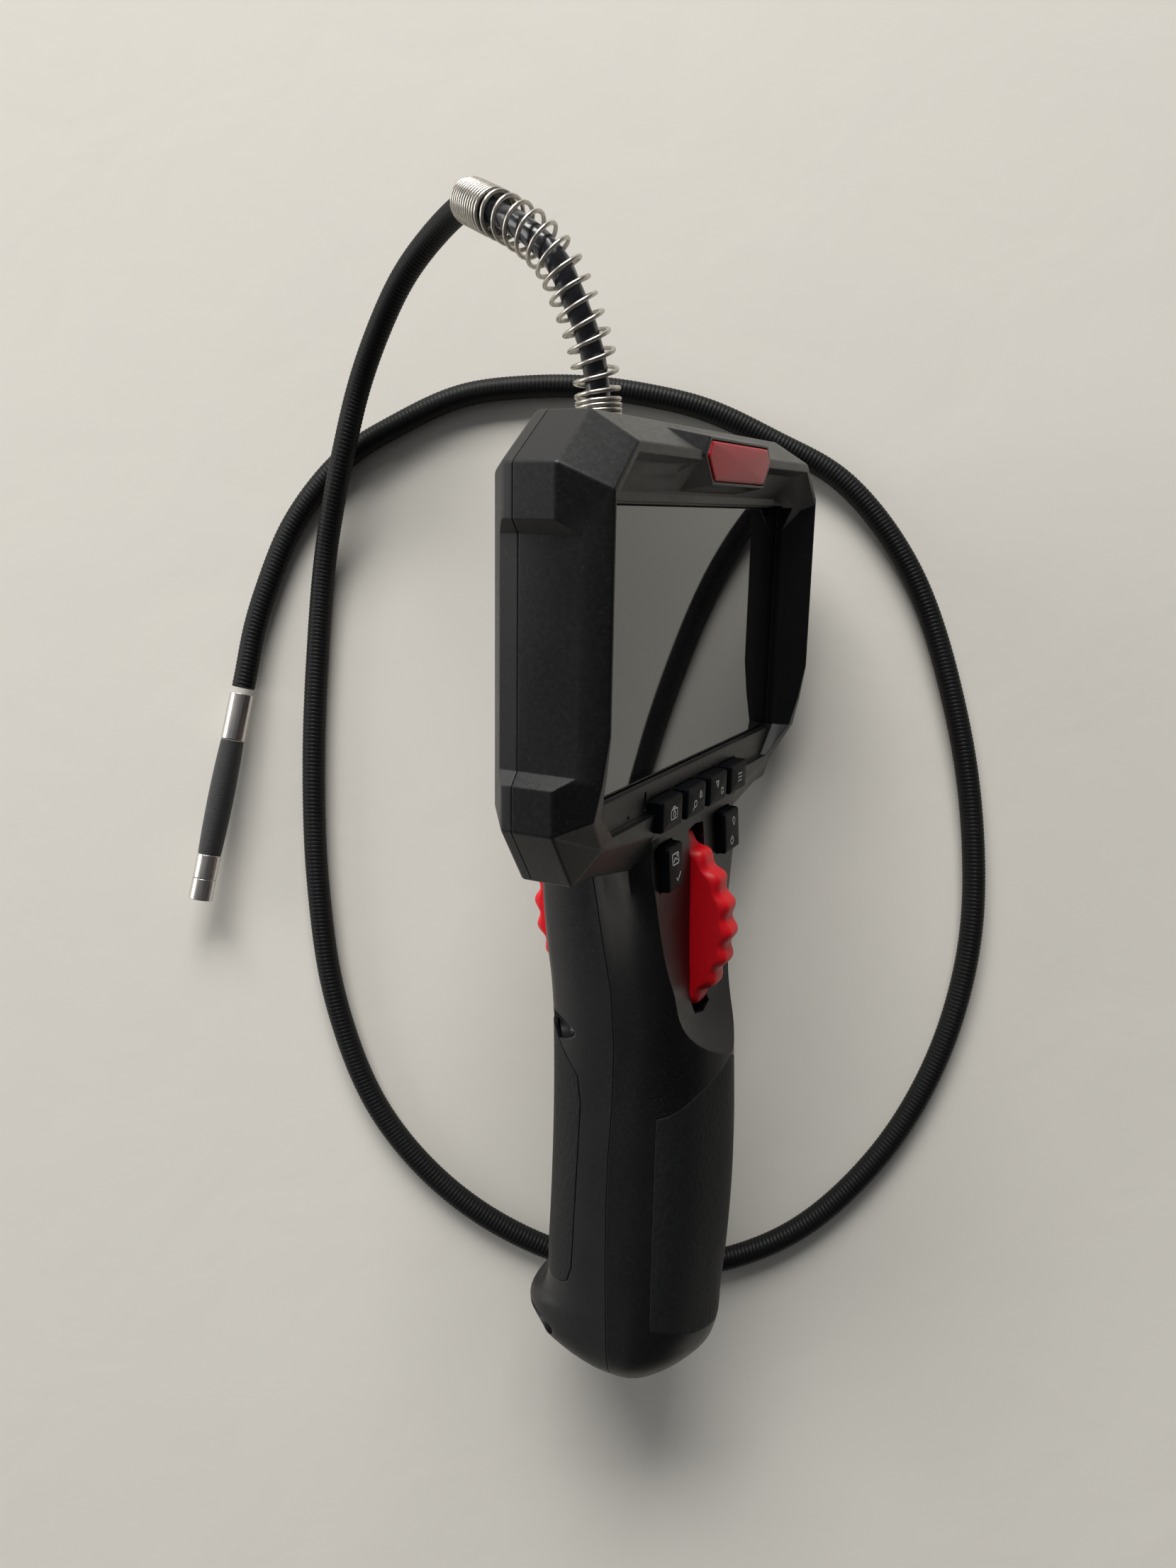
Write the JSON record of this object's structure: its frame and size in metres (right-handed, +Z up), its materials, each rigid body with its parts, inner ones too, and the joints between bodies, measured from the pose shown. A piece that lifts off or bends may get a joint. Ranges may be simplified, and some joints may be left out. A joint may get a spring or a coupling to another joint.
{
  "type": "inspection camera",
  "caption": "Handheld inspection camera with a wide screen head, pistol handle, thumb wheel and coiled insertion tube with a bending tip.",
  "frame": {"origin": "middle of the whole outline on the table plane, with the tool lying on its coiled tube", "axes": "+Z up from the table; +Y from the handle's butt end of the scene towards the head's upper side and the spring; +X towards the side the handle points to"},
  "size_m": [0.2264, 0.295, 0.1346],
  "materials": {
    "shell": "matte moulded",
    "key": "satin moulded",
    "red": "satin moulded, saturated red",
    "badge": "high gloss red",
    "glass": "polished, black behind",
    "lcd": "satin",
    "grip": "grained soft rubber",
    "steel": "polished stainless",
    "nickel": "bright nickel",
    "tube": "satin, finely ribbed",
    "pcb": "solder mask",
    "cell": "shrink wrap",
    "pom": "natural",
    "screw": "blackened",
    "knit": "black braided metal sleeve over steel links",
    "lens": "coated lens",
    "led": "diffuser",
    "membrane": "silicone"
  },
  "bodies": {
    "handset": {"badge_insert": "badge", "battery_cell": "cell", "battery_tray": "pom", "bushing_left": "pom", "bushing_right": "pom", "cable_core": "tube", "card_socket": "steel", "front_grip": "grip", "front_shell": "shell", "insertion_tube": "tube", "key_board": "pcb", "keypad_mat": "membrane", "lcd_panel": "lcd", "main_board": "pcb", "port_block": "lcd", "pull_wire_front": "steel", "pull_wire_rear": "steel", "rear_ferrule": "steel", "rear_grip": "grip", "rear_shell": "shell", "screen_glass": "glass", "screw_handle_lower_left": "screw", "screw_handle_lower_right": "screw", "screw_handle_upper_left": "screw", "screw_handle_upper_right": "screw", "screw_head_lower_left": "screw", "screw_head_lower_right": "screw", "screw_head_upper_left": "screw", "screw_head_upper_right": "screw", "strain_spring": "nickel", "tube_socket": "steel", "usb_socket": "steel", "wheel_axle": "steel", "wheel_bracket": "screw"},
    "wheel": {"thumb_wheel": "red", "cable_drum": "pom"},
    "port_cover": {"port_cover": "grip"},
    "key_camera": {"key_camera": "key"},
    "key_zoom": {"key_zoom": "key"},
    "key_rotate": {"key_rotate": "key"},
    "key_menu": {"key_menu": "key"},
    "key_gallery": {"key_gallery": "key"},
    "key_power": {"key_power": "key"},
    "link_1": {"bend_link_1": "knit"},
    "link_2": {"bend_link_2": "knit"},
    "link_3": {"bend_link_3": "knit"},
    "link_4": {"bend_link_4": "knit"},
    "link_5": {"bend_link_5": "knit"},
    "camera_head": {"camera_barrel": "steel", "camera_nose": "steel", "led_ring": "led", "lens_window": "lens"}
  },
  "joints": [
    {"name": "wheel_turn", "type": "hinge", "parent": "handset", "child": "wheel", "pos_m": [0.01066, -0.02644, 0.05049], "axis": [0.4508, 0.1629, -0.8777], "range_deg": [-60, 32]},
    {"name": "tip_bend_1", "type": "hinge", "parent": "handset", "child": "link_1", "pos_m": [-0.10162, 0.0148, 0.00613], "axis": [0.0125, 0.0644, 0.9978], "range_deg": [-15, 8]},
    {"name": "tip_bend_2", "type": "hinge", "parent": "link_1", "child": "link_2", "pos_m": [-0.10276, 0.00897, 0.00653], "axis": [0.0125, 0.0644, 0.9978], "range_deg": [-15, 8]},
    {"name": "tip_bend_3", "type": "hinge", "parent": "link_2", "child": "link_3", "pos_m": [-0.10389, 0.00315, 0.00692], "axis": [0.0125, 0.0644, 0.9978], "range_deg": [-15, 8]},
    {"name": "tip_bend_4", "type": "hinge", "parent": "link_3", "child": "link_4", "pos_m": [-0.10502, -0.00268, 0.00731], "axis": [0.0125, 0.0644, 0.9978], "range_deg": [-15, 8]},
    {"name": "tip_bend_5", "type": "hinge", "parent": "link_4", "child": "link_5", "pos_m": [-0.10615, -0.00851, 0.0077], "axis": [0.0125, 0.0644, 0.9978], "range_deg": [-15, 8]},
    {"name": "tip_bend_6", "type": "hinge", "parent": "link_5", "child": "camera_head", "pos_m": [-0.10728, -0.01434, 0.00809], "axis": [0.0125, 0.0644, 0.9978], "range_deg": [-15, 8]},
    {"name": "key_camera_press", "type": "slide", "parent": "handset", "child": "key_camera", "axis": [-0.8925, 0.1022, -0.4394], "range_m": [0, 0.0008]},
    {"name": "key_zoom_press", "type": "slide", "parent": "handset", "child": "key_zoom", "axis": [-0.8925, 0.1022, -0.4394], "range_m": [0, 0.0008]},
    {"name": "key_rotate_press", "type": "slide", "parent": "handset", "child": "key_rotate", "axis": [-0.8925, 0.1022, -0.4394], "range_m": [0, 0.0008]},
    {"name": "key_menu_press", "type": "slide", "parent": "handset", "child": "key_menu", "axis": [-0.8925, 0.1022, -0.4394], "range_m": [0, 0.0008]},
    {"name": "key_gallery_press", "type": "slide", "parent": "handset", "child": "key_gallery", "axis": [-0.8925, 0.1022, -0.4394], "range_m": [0, 0.0008]},
    {"name": "key_power_press", "type": "slide", "parent": "handset", "child": "key_power", "axis": [-0.8925, 0.1022, -0.4394], "range_m": [0, 0.0008]},
    {"name": "port_cover_open", "type": "hinge", "parent": "handset", "child": "port_cover", "pos_m": [0.0512, 0.05274, 0.01161], "axis": [-0.0181, -0.9813, -0.1914], "range_deg": [0, 110]}
  ],
  "couplings": [
    {"joint": "tip_bend_1", "follows": "wheel_turn", "ratio": 0.25},
    {"joint": "tip_bend_2", "follows": "wheel_turn", "ratio": 0.25},
    {"joint": "tip_bend_3", "follows": "wheel_turn", "ratio": 0.25},
    {"joint": "tip_bend_4", "follows": "wheel_turn", "ratio": 0.25},
    {"joint": "tip_bend_5", "follows": "wheel_turn", "ratio": 0.25},
    {"joint": "tip_bend_6", "follows": "wheel_turn", "ratio": 0.25}
  ]
}
